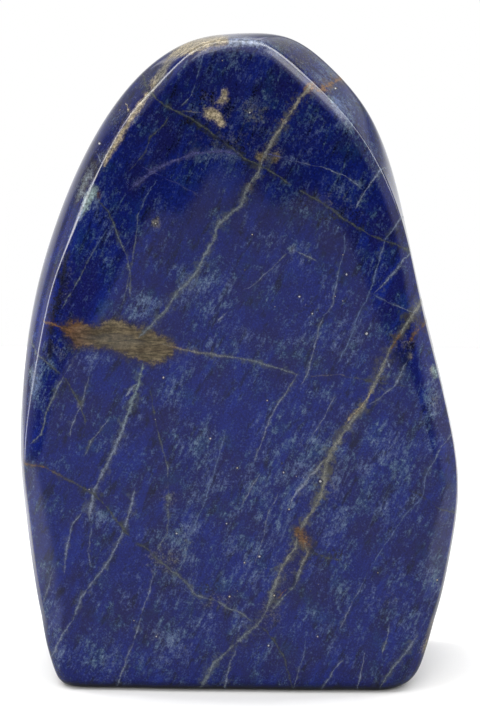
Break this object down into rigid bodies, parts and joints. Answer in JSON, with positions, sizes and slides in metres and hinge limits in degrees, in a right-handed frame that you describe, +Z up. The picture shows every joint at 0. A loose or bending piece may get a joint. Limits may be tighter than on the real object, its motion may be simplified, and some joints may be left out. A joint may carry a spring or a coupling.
{
  "type": "polished lapis lazuli freeform",
  "caption": "Polished standing freeform of lapis lazuli with a near-flat glossy front, a bevelled ridge, rounded side walls and a flat cut base to stand on.",
  "frame": {"origin": "middle of the flat cut base, below the middle of the stone's box", "axes": "+Z up, along the stone's height; -Y out of the glossy front; +X to the right as seen from the front"},
  "size_m": [0.0903, 0.0481, 0.1334],
  "materials": {
    "polished_lapis": "deep blue lapis polished to a high gloss, with tan, rusty and pale calcite veins, fine pale mottling and small pyrite grains"
  },
  "bodies": {
    "root": {"lapis_stone": "polished_lapis"}
  },
  "joints": []
}
